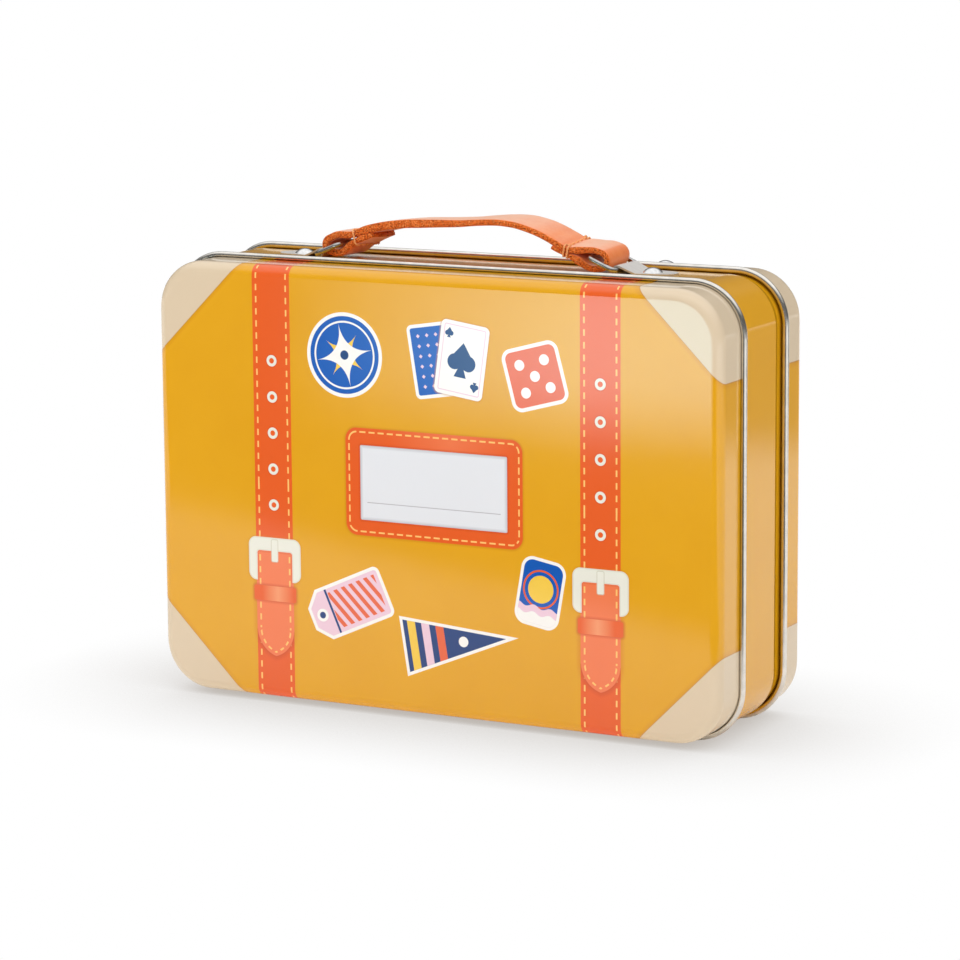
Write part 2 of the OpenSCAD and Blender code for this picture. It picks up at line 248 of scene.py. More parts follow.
inks = {
    "yellow": colour("E3A51A"),
    "yellowDeep": colour("D9980F"),
    "coral": colour("E65F24"),
    "coralLight": colour("EF7C4E"),
    "coralDark": colour("C8431A"),
    "coralShine": colour("F6A878"),
    "brick": colour("E4643C"),
    "cream": colour("DBC7AA"),
    "creamEdge": colour("B98A4A"),
    "buckle": colour("E8E7DA"),
    "buckleDark": colour("C9C5AE"),
    "thread": colour("FFC873"),
    "card": colour("E4E6EA"),
    "cardShade": colour("A9A6AC"),
    "blue": colour("0F58B3"),
    "navy": colour("173C78"),
    "pink": colour("EBC9D8"),
    "white": colour("F6F3EE"),
    "sun": colour("F2C94A"),
    "amber": colour("C77E12"),
    "metal": colour("E9E5DE"),
    "metalDull": colour("D8D4CC"),
}

tin = {
    "width": 200.0,
    "height": 141.0,
    "corner": 16.0,
    "curlStart": 14.95,  # the curl stands out from the skirt beyond this depth
    "curlProud": 0.06,
    "printShift": 1.25,  # the print sits a little to the right of the tin's middle
}
tinMiddle = (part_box("lid_cover")[0].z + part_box("lid_cover")[1].z) / 2 / mm
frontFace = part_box("lid_cover")[0].y / mm
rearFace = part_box("rear_cover")[1].y / mm

luggage = {
    "capReach": 141.0,  # a corner cap covers |x| + |z| beyond this
    "strapCentre": 58.35,
    "strapWidth": 13.8,
    "stitchInset": 1.4,
    "stitchPitch": 3.9,
    "stitchDuty": 0.52,
    "eyeletMiddle": 16.6,
    "eyeletStep": 11.7,
    "eyeletCount": 5,
    "buckleTop": -17.6,
    "buckleBottom": -31.8,
    "buckleWidth": 19.3,
    "windowTop": -22.0,
    "windowWidth": 13.0,
    "keeperTop": -33.5,
    "keeperBottom": -38.4,
    "keeperWidth": 15.6,
    "tipStart": -47.5,
    "tipEnd": -56.6,
    "stitchHalf": 0.28,  # half the width of a printed stitch
    "eyeletRadii": (1.85, 0.88),
    "tongue": (-21.85, 2.2, 7.1, 0.4),  # middle, width, height, corner
}

label = {
    "middle": (0.0, 3.3),
    "size": (63.1, 34.6, 4.0),
    "window": (52.4, 24.0, 0.5),
    "windowMiddle": (-0.05, 3.1),
    "stitchInset": 1.3,
    "stitchPitch": 3.3,
    "ruleHeight": -3.2,
    "ruleHalf": 23.8,
    "ruleWidth": 0.22,
    "shineMiddle": (6.0, 17.6),
    "shineReach": 22.0,
}


def strapInk(ink, u, z, along, lap):
    s = luggage
    half = s["strapWidth"] / 2
    edge = abs(u) - half
    ink = painted(ink, inks["coral"], edge.fill())
    row = abs(abs(u) - (half - s["stitchInset"])) - s["stitchHalf"]
    ink = painted(ink, inks["thread"], row.fill() * dashes(along, s["stitchPitch"], s["stitchDuty"]))
    if not lap:
        return ink

    # eyelets
    reach = (s["eyeletCount"] / 2) * s["eyeletStep"]
    turn = (z - s["eyeletMiddle"]) * (1 / s["eyeletStep"]) + 0.5
    zz = (turn.maths("FRACT") - 0.5) * s["eyeletStep"]
    near = (abs(z - s["eyeletMiddle"]) - reach).fill(0.1)
    eye = joined(u, zz)
    rim, bore = s["eyeletRadii"]
    ink = painted(ink, inks["coralDark"], disc(eye, rim + 0.05).glow(0.5, 0.45) * near)
    ink = painted(ink, inks["buckle"], disc(eye, rim).fill() * near)
    ink = painted(ink, inks["coral"], disc(eye, bore).fill() * near)

    # the strap's free end, with its rounded point
    radius = (half ** 2 + (s["tipStart"] - s["tipEnd"]) ** 2) / (2 * half)
    bow = joined(abs(u) + (radius - half), (z - s["tipStart"]).low(0.0)).vector("LENGTH") - radius
    below = z - s["windowTop"]
    flap = bow.high(below)
    soft = (bow - 0.25).glow(1.5, 0.5) * below.under(-9.0)
    ink = painted(ink, inks["coralDark"], soft * edge.fill() + (soft * 0.5) * edge.over(0.0))
    ink = painted(ink, inks["coralLight"], flap.fill())
    ink = painted(ink, inks["coralDark"], (abs(bow) - 0.12).fill(0.2) * 0.45 * below.under(-26.0))
    row = abs(bow + s["stitchInset"]) - s["stitchHalf"]
    step = along - abs(u) * (z - s["tipStart"]).under(0.0)
    dash = dashes(step, s["stitchPitch"], s["stitchDuty"])
    ink = painted(ink, inks["thread"], row.fill() * below.under(-0.5) * dash)

    # keeper loop
    middle = (s["keeperTop"] + s["keeperBottom"]) / 2
    keeper = placed(joined(u, z), (0, middle))
    keeperEdge = plate(keeper, s["keeperWidth"], s["keeperTop"] - s["keeperBottom"], 0.7)
    ink = painted(ink, inks["coralDark"], (keeperEdge - 0.1).glow(0.9, 0.55))
    ink = painted(ink, inks["coral"], keeperEdge.fill())
    shine = 1.0 - abs(u + 1.0) * 0.17
    ink = painted(ink, inks["coralShine"], shine.high(0.0) * keeperEdge.fill() * 0.75)

    # buckle: a frame open at the bottom and its tongue
    tall = s["buckleTop"] - s["buckleBottom"]
    frameEdge = plate(placed(joined(u, z), (0, s["buckleTop"] - tall / 2)), s["buckleWidth"], tall, 2.7)
    holeTall = 2 * tall
    hole = plate(placed(joined(u, z), (0, s["windowTop"] - holeTall / 2)), s["windowWidth"], holeTall, 0.9)
    ring = frameEdge.high(-hole)
    ink = painted(ink, inks["coralDark"], (ring - 0.1).glow(0.7, 0.3) * hole.under(0.0))
    around = hole.over(0.0) * frameEdge.over(0.0)
    ink = painted(ink, inks["amber"], (frameEdge - 0.1).glow(0.7, 0.35) * around)
    ink = painted(ink, inks["buckle"], ring.fill())
    ink = painted(ink, inks["buckleDark"], (abs(ring + 0.25) - 0.1).fill(0.25) * ring.under(0.0) * 0.6)
    height, *size = s["tongue"]
    tongue = plate(placed(joined(u, z), (0, height)), *size)
    ink = painted(ink, inks["buckleDark"], (tongue - 0.05).glow(0.35, 0.9))
    return painted(ink, inks["buckle"], tongue.fill())


def labelInk(ink, point):
    s = label
    width, height, r = s["size"]
    own = placed(point, s["middle"])
    edge = plate(own, width, height, r)
    ink = painted(ink, inks["amber"], (edge - 0.1).glow(0.7, 0.5))
    ink = painted(ink, inks["coral"], edge.fill())
    ox, oz, _ = own.parts()
    shine = disc(placed(point, s["shineMiddle"]), 0).glow(s["shineReach"], 0.8)
    ink = painted(ink, inks["coralLight"], shine * edge.fill())
    upright = (abs(ox) - width / 2).over(abs(oz) - height / 2)
    dash = dashes(oz, s["stitchPitch"], 0.66) * upright + dashes(ox, s["stitchPitch"], 0.66) * (1.0 - upright)
    ink = painted(ink, inks["thread"], (abs(edge + s["stitchInset"]) - 0.26).fill() * dash)
    pane = plate(placed(point, s["windowMiddle"]), *s["window"])
    ink = painted(ink, inks["coralDark"], (pane - 0.05).glow(0.8, 0.6))
    ink = painted(ink, inks["card"], pane.fill())
    ink = painted(ink, inks["cardShade"], (pane + 1.1).ramp(0.0, 1.1, 0.0, 0.6) * pane.under(0.0))
    px, pz, _ = point.parts()
    rule = (abs(pz - s["ruleHeight"]) - s["ruleWidth"] / 2).high(abs(px) - s["ruleHalf"])
    return painted(ink, inks["cardShade"], rule.fill(0.12))


def compassBadge(ink, point, centre, turn):
    own = placed(point, centre, turn)
    ink = painted(ink, inks["white"], disc(own, 13.6).fill())
    ink = painted(ink, inks["blue"], disc(own, 12.4).fill())
    ink = painted(ink, inks["white"], (abs(disc(own, 10.6)) - 0.3).fill())
    for size, twist, tint in ((8.2, 45, inks["sun"]), (10.4, 0, inks["white"])):
        x, z, _ = placed(own, (0, 0), twist).vector("ABSOLUTE").parts()
        star = x.maths("POWER", 0.52) + z.maths("POWER", 0.52) - size ** 0.52
        ink = painted(ink, tint, star.fill(0.05))
    return painted(ink, inks["navy"], disc(own, 1.5).fill())


def playingCards(ink, point, centre, turn):
    back = placed(point, (centre[0] - 5.0, centre[1] - 0.6), turn + 17)
    edge = plate(back, 17, 23.5, 1.8)
    ink = painted(ink, inks["white"], edge.fill())
    ink = painted(ink, inks["blue"], (edge + 1.1).fill())
    x, z, _ = (back.vector("MULTIPLY", (1 / 3.2, 1 / 3.2, 0))).vector("FRACTION").parts()
    lozenge = abs(abs(x) - 0.5) + abs(abs(z) - 0.5) - 0.2
    ink = painted(ink, inks["pink"], lozenge.fill(0.05) * (edge + 2.2).fill())
    front = placed(point, (centre[0] + 4.5, centre[1]), turn)
    edge = plate(front, 17, 23.5, 1.8)
    ink = painted(ink, inks["amber"], (edge - 0.1).glow(0.6, 0.5))
    ink = painted(ink, inks["white"], edge.fill())
    ink = painted(ink, inks["pink"], (abs(edge + 1.3) - 0.16).fill())
    x, z, _ = front.parts()
    ink = painted(ink, inks["navy"], spade(abs(x), z, 1.0).fill(0.05))
    for side in (1, -1):
        corner = spade(abs(x * side + 5.4), z * side - 7.9, 0.3)
        ink = painted(ink, inks["navy"], corner.fill(0.04))
    return ink


def spade(x, z, scale):  # x is already folded about the middle
    lobe = disc(joined(x - 2.45 * scale, z + 0.9 * scale), 2.5 * scale)
    peak = (x * 0.8 + z * 0.62 - 3.35 * scale).high(-z - 0.4 * scale)
    stem = (x - 0.5 * scale - (z + 1.6 * scale).low(0.0) * -0.42).high(-z - 5.6 * scale).high(z)
    return lobe.low(peak).low(stem)


def stripedTag(ink, point, centre, turn):
    own = placed(point, centre, turn)
    x, z, _ = own.parts()
    body = plate(own, 30, 17, 2.2)
    cut = (x * -0.707 + abs(z) * 0.707) - 13.2
    edge = body.high(cut)
    ink = painted(ink, inks["white"], edge.fill())
    ink = painted(ink, inks["pink"], (edge + 1.1).fill())
    band = (abs((x + z * 0.4 - 4.0).maths("PINGPONG", 3.0) - 1.5) - 0.75)
    ink = painted(ink, inks["brick"], band.fill(0.1) * (edge + 2.4).fill() * x.over(-6.0))
    ink = painted(ink, inks["navy"], (abs(x + 6.6) - 0.4).fill() * (edge + 1.1).fill())
    hole = placed(own, (-10.6, 0))
    ink = painted(ink, inks["white"], disc(hole, 2.1).fill())
    return painted(ink, inks["navy"], disc(hole, 1.1).fill())


def pennant(ink, point, centre, turn):
    own = placed(point, centre, turn)
    x, z, _ = own.parts()
    slope = 0.235
    edge = ((abs(z) + x * slope - 5.2) * 0.973).high(-x - 19.5)
    ink = painted(ink, inks["white"], edge.fill())
    ink = painted(ink, inks["navy"], (edge + 1.0).fill())
    for start, tint in ((-15.5, inks["sun"]), (-10.5, inks["pink"]), (-5.5, inks["brick"])):
        stripe = (abs(x - start) - 1.4).high(edge + 1.0)
        ink = painted(ink, tint, stripe.fill())
    return painted(ink, inks["white"], disc(placed(own, (2.4, 0)), 1.7).fill())


def diceFace(ink, point, centre, turn):
    own = placed(point, centre, turn)
    edge = plate(own, 20, 20, 3.4)
    ink = painted(ink, inks["white"], edge.fill())
    ink = painted(ink, inks["brick"], (edge + 1.2).fill())
    x, z, _ = own.vector("ABSOLUTE").parts()
    pips = disc(joined(x - 4.4, z - 4.4), 1.7).low(disc(own, 1.7))
    return painted(ink, inks["white"], pips.fill())


def sunBadge(ink, point, centre, turn):
    own = placed(point, centre, turn)
    edge = plate(own, 15.6, 22, 4.0)
    ink = painted(ink, inks["white"], edge.fill())
    ink = painted(ink, inks["blue"], (edge + 1.0).fill())
    x, z, _ = own.parts()
    waves = z + 4.6 + (x * 1.1).maths("SINE") * 0.5
    sun = placed(own, (0, 1.2))
    ink = painted(ink, inks["sun"], disc(sun, 4.4).fill() * (edge + 1.0).fill())
    ink = painted(ink, inks["coral"], (abs(disc(sun, 5.9)) - 0.3).fill() * (edge + 1.0).fill())
    for drop, tint in ((0.0, inks["pink"]), (2.2, inks["white"])):
        ink = painted(ink, tint, (waves + drop).high(edge + 1.0).fill())
    return ink


motifs = [  # what is printed, its middle on the cover's face and its turn
    (compassBadge, (-31.5, 43.5), 12),
    (playingCards, (6.0, 44.5), -8),
    (stripedTag, (-31.0, -37.0), 24),
    (pennant, (8.0, -45.5), 9),
    (diceFace, (36.0, 41.0), 15),
    (sunBadge, (37.5, -27.0), -10),
]

lacquer = {
    "cloud": (0.03, 3.0),  # scale and detail of the slow change in the yellow
    "polish": 0.08,
    "polishChange": 0.05,
    "bareRough": 0.12,  # how much rougher bare metal is
    "coat": 0.25,
    "coatRough": 0.04,
    "slowWave": (0.035, 6.0),  # scale and height of the sheet's waves
    "fineWave": (0.7, 0.12),
    "waveDepth": 0.00004,
}


def yellowLacquer(inMm):
    cloud = inMm.noise(*lacquer["cloud"]).ramp(0.35, 0.7, 0.0, 0.35)
    return painted(inks["yellow"], inks["yellowDeep"], cloud)


def finishTin(shader, inMm, ink, bare):  # bare is 1 where the metal shows
    s = lacquer
    metal = painted(inks["metal"], inks["metalDull"], inMm.noise(0.3, 3.0, 0.5).ramp(0.3, 0.7))
    rough = (inMm.noise(0.5, 2.0) * s["polishChange"] + s["polish"]) + bare * s["bareRough"]
    slow, fine = s["slowWave"], s["fineWave"]
    waves = (inMm.noise(slow[0], 1.0) * slow[1] + inMm.noise(fine[0], 2.0) * fine[1]) * (1.0 - bare)
    plug(shader, base=painted(ink, metal, bare), metal=bare, rough=rough, coat=s["coat"],
         coatRough=s["coatRough"], bump=bumped(waves, 0.3, s["waveDepth"]))


def coverMaterial(name, isFront):
    material, tree, shader, place, normal = newMaterial(name)
    inMm = place.vector("MULTIPLY", (1000, 1000, 1000))
    x, y, z = inMm.parts()
    z = z - tinMiddle
    depth = y - frontFace if isFront else rearFace - y

    # print
    px = x - tin["printShift"]
    point = joined(px, z)
    ink = yellowLacquer(inMm)
    for motif, centre, turn in motifs if isFront else ():
        ink = motif(ink, point, centre, turn)
    ink = strapInk(ink, abs(px) - luggage["strapCentre"], z, abs(z) + depth, isFront)
    if isFront:
        ink = labelInk(ink, point)
    cap = -(abs(px) + abs(z) - luggage["capReach"]) * math.sqrt(0.5)
    ink = painted(ink, inks["creamEdge"], (abs(cap) - 0.2).fill(0.5))
    ink = painted(ink, inks["amber"], cap.glow(1.6, 0.35) * cap.over(0.0))
    ink = painted(ink, inks["cream"], cap.fill())

    # bare metal: inside the cover, and where the curl stands out from the skirt
    outline = plate(joined(x, z), tin["width"], tin["height"], tin["corner"])
    curl = outline.over(tin["curlProud"]).high(depth.over(tin["curlStart"]))
    outward = inMm.vector("SUBTRACT", (0, 0, tinMiddle)).vector("DOT_PRODUCT", normal)
    finishTin(shader, inMm, ink, outward.under(0.0).high(curl))
    return material


def bandMaterial(name):
    material, tree, shader, place, normal = newMaterial(name)
    inMm = place.vector("MULTIPLY", (1000, 1000, 1000))
    across = inMm.vector("SUBTRACT", (0, 0, tinMiddle)).vector("MULTIPLY", (1, 0, 1))
    finishTin(shader, inMm, yellowLacquer(inMm), across.vector("DOT_PRODUCT", normal).under(0.5))
    return material


def metalMaterial(name, light, dark, rough, scale, stretch):
    material, tree, shader, place, normal = newMaterial(name)
    inMm = place.vector("MULTIPLY", (1000, 1000, 1000))
    grain = inMm.noise(scale, 3.0, 0.6, stretch)
    smears = inMm.noise(0.25, 2.0)
    ink = painted(colour(light), colour(dark), grain.ramp(0.3, 0.7) * 0.6 + smears.ramp(0.4, 0.7) * 0.4)
    plug(shader, base=ink, metal=1.0, rough=grain * 0.12 + rough, bump=bumped(grain, 0.25, 0.00001))
    return material


def dress(material, *names):
    for name in names:
        data = nodes[name].data
        data.materials.clear()
        data.materials.append(material)


dress(coverMaterial("frontCoverPrint", True), "lid_cover")
dress(coverMaterial("rearCoverPrint", False), "rear_cover")
dress(bandMaterial("bandLacquer"), "body_band")
stamped = metalMaterial("stampedNickel", "F6F3EF", "EAE7E3", 0.5, 1.4, (0.2, 1.0, 1.0))
polished = metalMaterial("polishedNickel", "EDEDED", "D3D4D6", 0.12, 1.0, (1.0, 1.0, 1.0))
wire = metalMaterial("drawnWire", "CFCFCE", "9C9B98", 0.14, 1.2, (0.3, 0.3, 1.0))
dress(stamped, "hanger_left", "hanger_right", "hanger_washers", "lid_hinge_leaf_left", "lid_hinge_leaf_right",
      "band_hinge_leaf_left", "band_hinge_leaf_right")
dress(polished, "hanger_rivets", "rear_cover_rivets", "lid_hinge_rivets", "band_hinge_rivets")
dress(wire, "ring_left", "ring_right", "hinge_pin_left", "hinge_pin_right")
print("tinplate and metal are finished")

# leather strap: one long strip that folds round both rings

strap = {
    "width": 15.0,
    "edgeRadius": 0.5,
    "edgeBulge": 0.06,
    "crown": 0.1,
    "wander": 0.12,  # how far the edges stray from a straight line
    "wanderStep": 9,
    "step": 0.7,
    # (x, height) over the band: the middle of the strip, from the right flap to the right fold
    "rightFlap": [(31.0, 8.25), (33.2, 7.35), (35.4, 6.5), (37.4, 5.7), (39.4, 4.65), (41.4, 3.4),
                  (43.2, 2.4), (45.2, 1.85)],
    "rightFold": (47.7, 4.5, 2.5),  # x, height, radius
    # from the right fold over the arch to the left fold
    "arch": [(46.2, 7.5), (44.6, 7.65), (42.5, 7.6), (40.2, 7.5), (38.4, 7.6), (37.0, 7.5), (35.6, 8.0),
             (33.5, 8.95), (31.2, 10.0), (28.9, 11.1), (26.2, 12.2), (23.4, 13.1), (18.4, 14.2),
             (13.8, 14.55), (10.0, 14.5), (6.0, 14.2), (2.0, 13.8), (-2.0, 13.35), (-10.0, 12.85),
             (-16.3, 12.5), (-20.7, 12.25), (-25.9, 11.65), (-29.4, 11.1), (-33.0, 10.3), (-35.6, 9.6),
             (-38.3, 8.65), (-40.5, 8.0), (-42.7, 7.8), (-45.0, 7.85), (-46.8, 7.55)],
    "leftFold": (-48.5, 4.45, 2.2),
    # from the left fold to the left flap
    "leftFlap": [(-46.8, 1.95), (-44.9, 2.2), (-43.4, 2.95), (-42.2, 4.0), (-40.5, 5.2), (-39.1, 5.9),
                 (-36.0, 7.2), (-33.1, 8.15)],
    # by x: how far the strap leans towards the viewer, in degrees, and how thick it is
    "roll": [(-52, -1.5), (-43, -1.5), (-39, -3.5), (-30, -3), (-10, -2.5), (2, -0.5), (12, 1), (18, 3),
             (24, 4.5), (33, 5.5), (38, 4.5), (44, 2.6), (52, 2.4)],
    "thickness": [(-52, 2.25), (-44, 2.3), (-38, 2.7), (-16, 2.75), (4, 2.05), (30, 1.95), (37, 2.0),
                  (40, 2.4), (43, 2.0), (52, 2.0)],
    "skive": (0.6, 9.0),  # the flaps are thinned to this share over this length
    "pinch": (0.25, 2.0),  # the thread pulls the near edge in by this share over this length
    "grainDepth": 0.0002,  # in metres
    "stitchRight": 36.4,
    "stitchLeft": -39.6,
}
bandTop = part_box("body_band")[1].z / mm


def smooth(points, step):  # even points on a Catmull-Rom curve
    ends = [points[0] * 2 - points[1], *points, points[-1] * 2 - points[-2]]
    dense = []
    for a, b, c, d in zip(ends, ends[1:], ends[2:], ends[3:]):
        for i in range(16):
            t = i / 16
            dense.append(0.5 * (2 * b + (c - a) * t + (2 * a - 5 * b + 4 * c - d) * t * t
                                + (3 * b - a - 3 * c + d) * t ** 3))
    dense.append(points[-1])
    total = sum((q - p).length for p, q in zip(dense, dense[1:]))
    count = max(2, round(total / step))
    out, gone, i = [dense[0]], 0.0, 0
    for k in range(1, count):
        goal = total * k / count
        while gone + (dense[i + 1] - dense[i]).length < goal:
            gone += (dense[i + 1] - dense[i]).length
            i += 1
        out.append(dense[i].lerp(dense[i + 1], (goal - gone) / (dense[i + 1] - dense[i]).length))
    return out + [dense[-1]]


def strapPath(s):
    def fold(x, z, radius, start, end):
        return [(x + radius * math.cos(math.radians(a)), z + radius * math.sin(math.radians(a)))
                for a in range(start, end + 1, 20)]

    points = s["rightFlap"] + fold(*s["rightFold"], -80, 80) + s["arch"]
    points += fold(*s["leftFold"], 100, 260) + s["leftFlap"]
    return smooth([Vector((px, pz)) for px, pz in points], s["step"])


def along(table, x):  # the value at x, in straight steps between the table's points
    for (x0, a0), (x1, a1) in zip(table, table[1:]):
        if x <= x1:
            break
    return a0 + (a1 - a0) * min(max((x - x0) / (x1 - x0), 0), 1)


def outwards(path, i):
    along = (path[min(i + 1, len(path) - 1)] - path[max(i - 1, 0)]).normalized()
    return Vector((along.y, -along.x))


def crossways(path, i):
    turn = math.radians(along(strap["roll"], path[i].x))
    return Vector((0, math.cos(turn), math.sin(turn)))


def strapSection(s, thick):  # (across, out) pairs round the strip, for half its thickness
    half, r = s["width"] / 2, min(s["edgeRadius"], thick * 0.6)
    bend = [(math.cos(math.radians(a)) * r, math.sin(math.radians(a)) * r) for a in (30, 60)]
    flat, upright = half - r, thick - r
    points = []
    for side in (1, -1):
        points += [(side * flat * (i / 6 - 1), side * thick) for i in range(13)]
        points += [(side * (flat + down), side * (upright + over)) for over, down in bend]
        for t in (1, 0.33, -0.33, -1):
            points.append((side * (half + s["edgeBulge"] * (1 - t * t)), side * upright * t))
        points += [(side * (flat + over), -side * (upright + down)) for over, down in bend]
    return points


def meshObject(name, build):
    mesh = bpy.data.meshes.new(name)
    form = bmesh.new()
    build(form)
    bmesh.ops.recalc_face_normals(form, faces=form.faces)
    form.to_mesh(mesh)
    form.free()
    piece = bpy.data.objects.new(name, mesh)
    bpy.context.scene.collection.objects.link(piece)
    for face in mesh.polygons:
        face.use_smooth = True
    return piece


def inStrap(path, i, across, lift, shift=0.0):  # a point across the strip, out from its middle and along it
    out = outwards(path, i)
    spot = path[i] + out * lift + Vector((out.y, -out.x)) * shift
    return Vector((spot.x, 0, bandTop + spot.y)) + crossways(path, i) * across


def halfThick(path, i, across=0.0):
    reach = min(i, len(path) - 1 - i) * strap["step"]
    share, length = strap["skive"]
    skived = min(1, share + (1 - share) * reach / length)
    deep, wide = strap["pinch"]
    gap = min(abs(path[i].x - x) for x in (strap["stitchRight"], strap["stitchLeft"]))
    pinched = 1 - deep * math.exp(-(gap / wide) ** 2) * (0.6 - across / strap["width"] * 0.8)
    return along(strap["thickness"], path[i].x) / 2 * skived * pinched


def buildStrap(form):
    dice = random.Random(7)
    path = strapPath(strap)
    every = strap["wanderStep"]
    drift = [dice.uniform(-1, 1) for _ in range(len(path) // every + 3)]
    rings = []
    for i in range(len(path)):
        slow, part = divmod(i / every, 1)
        wander = strap["wander"] * (drift[int(slow)] * (1 - part) + drift[int(slow) + 1] * part)
        ring = []
        thick = halfThick(path, i)
        for across, lift in strapSection(strap, thick):
            crown = strap["crown"] * (1 - (across * 2 / strap["width"]) ** 2) if lift > 0 else 0
            lift *= halfThick(path, i, across) / thick
            ring.append(form.verts.new(inStrap(path, i, across + wander, lift + crown) * mm))
        rings.append(ring)
    for a, b in zip(rings, rings[1:]):
        for k in range(len(a)):
            face = form.faces.new((a[k - 1], a[k], b[k], b[k - 1]))
            face.normal_update()
            face.material_index = 1 if abs(face.normal.y) > 0.6 else 0  # the cut edges
    for ring in (rings[0], rings[-1]):
        form.faces.new(ring).material_index = 1


def leatherMaterial(name):
    material, tree, shader, place, normal = newMaterial(name)
    inMm = place.vector("MULTIPLY", (1000, 1000, 1000))
    blotch = inMm.noise(0.16, 3.0)
    up = normal.parts()[2]
    grain = painted(colour("F88840"), colour("F07A36"), blotch.ramp(0.35, 0.65))
    grain = painted(grain, colour("F69E66"), inMm.noise(0.9, 3.0).ramp(0.5, 0.75, 0.0, 0.5))
    # painted sheen: faces that point up get a paler colour that stands in for glare, broken up a little by
    # noise
    paintedSheen = up.ramp(0.88, 1.0) * inMm.noise(0.5, 3.0).ramp(0.3, 0.6, 0.75, 1.0)
    ink = painted(grain, colour("FFC0A0"), paintedSheen)  # painted sheen: the upward-facing top is painted paler in place of the glare on it
    height = inMm.cells(1.7).ramp(0.0, 0.45) * 0.35 + inMm.noise(0.5, 2.0) * 0.5
    plug(shader, base=ink, rough=blotch * 0.1 + 0.42, coat=0.4, coatRough=0.4, shine=0.35,
         sheen=0.6, sheenRough=0.4, sheenTint=colour("FFD9C0"),
         bump=bumped(height, 0.6, strap["grainDepth"]))
    return material


def cutMaterial(name):
    material, tree, shader, place, normal = newMaterial(name)
    inMm = place.vector("MULTIPLY", (1000, 1000, 1000))
    fibres = inMm.noise(2.3, 4.0, 0.75)
    ink = painted(colour("E06A26"), colour("FFA860"), fibres.ramp(0.52, 0.61))
    ink = painted(ink, colour("7A2804"), inMm.noise(2.0, 4.0, 0.75).ramp(0.51, 0.58))
    height = fibres * 1.6 + inMm.noise(0.5, 2.0) * 0.5
    plug(shader, base=ink, rough=0.75, shine=0.15, bump=bumped(height, 0.6, strap["grainDepth"]))
    return material


leather = meshObject("leatherStrap", buildStrap)
leather.data.materials.append(leatherMaterial("dyedLeather"))
leather.data.materials.append(cutMaterial("cutLeather"))
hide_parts("handle_strap")
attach(leather, "handle")
print("leather strap is folded")

# stitching: two-ply thread across the strap and round its edges

thread = {
    "ply": 0.2,
    "spread": 0.15,
    "twist": 1.5,
    "rows": 5,
    "stitch": 2.0,
    "gap": 0.75,
    "wraps": {"Left": (0.1,), "Right": (-0.7, 0.6)},
    "sides": 8,
    "step": 0.22,
    "hump": ((-1, -0.35), (-0.6, 0.18), (0, 0.26), (0.6, 0.18), (1, -0.35)),  # along a stitch, and up
    "turn": ((1.7, -0.3), (1.2, 0.2), (0.5, 0.3)),  # back from the strap's edge, and up
    "turnOut": 0.95,
}


def twisted(form, points):
    s = thread
    path = smooth(points, s["step"])
    for ply in (0, math.pi):
        rings = []
        for i, centre in enumerate(path):
            along = (path[min(i + 1, len(path) - 1)] - path[max(i - 1, 0)]).normalized()
            side = along.cross(Vector((0.9, 0.1, 0.42))).normalized()
            other = along.cross(side)
            angle = ply + i * s["step"] * math.tau / s["twist"]
            taper = min(1.0, 0.45 + 0.25 * min(i, len(path) - 1 - i))
            middle = centre + (side * math.cos(angle) + other * math.sin(angle)) * s["spread"]
            ring = []
            for k in range(s["sides"]):
                a = k * math.tau / s["sides"]
                spoke = (side * math.cos(a) + other * math.sin(a)) * s["ply"] * taper
                ring.append(form.verts.new((middle + spoke) * mm))
            rings.append(ring)
        for a, b in zip(rings, rings[1:]):
            for k in range(s["sides"]):
                form.faces.new((a[k - 1], a[k], b[k], b[k - 1]))
        for ring in (rings[0], rings[-1]):
            form.faces.new(ring)


def buildStitches(x, wraps):
    path = strapPath(strap)
    hits = [i for i in range(len(path)) if abs(path[i].x - x) < 0.45]
    upper = max(hits, key=lambda i: path[i].y)
    lower = min(hits, key=lambda i: path[i].y)

    def onFace(i, y, lift, shift=0.0):
        return inStrap(path, i, y, halfThick(path, i, y) + 0.1 + lift, shift)

    def build(form):
        pitch = thread["stitch"] + thread["gap"]
        for layer in (upper, lower):
            for k in range(thread["rows"]):
                y = (k - (thread["rows"] - 1) / 2) * pitch
                reach = thread["stitch"] / 2
                twisted(form, [onFace(layer, y + reach * t, lift) for t, lift in thread["hump"]])
        edge = strap["width"] / 2
        for side in (1, -1):
            for shift in wraps:
                turn = thread["turn"]
                top = [onFace(upper, side * (edge - back), lift, shift) for back, lift in turn]
                foot = [onFace(lower, side * (edge - back), lift, -shift) for back, lift in turn[::-1]]
                proud = Vector((0, side * thread["turnOut"], 0))
                rim = [top[-1].lerp(foot[0], t) + proud for t in (0.15, 0.5, 0.85)]
                twisted(form, top + rim + foot)
    return build


def threadMaterial(name):
    material, tree, shader, place, normal = newMaterial(name)
    inMm = place.vector("MULTIPLY", (1000, 1000, 1000))
    fuzz = inMm.noise(3.0, 3.0, 0.7)
    ink = painted(colour("F8B878"), colour("EC9650"), fuzz.ramp(0.4, 0.7))
    plug(shader, base=ink, rough=0.6, sheen=0.3, sheenRough=0.5, bump=bumped(fuzz, 0.5, 0.00008))
    return material


threadFinish = threadMaterial("waxedThread")
for side, x in (("Left", strap["stitchLeft"]), ("Right", strap["stitchRight"])):
    stitches = meshObject("stitchThread" + side, buildStitches(x, thread["wraps"][side]))
    stitches.data.materials.append(threadFinish)
    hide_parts("handle_stitch_" + side.lower())
    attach(stitches, "handle")
print("stitching is sewn")

# stage

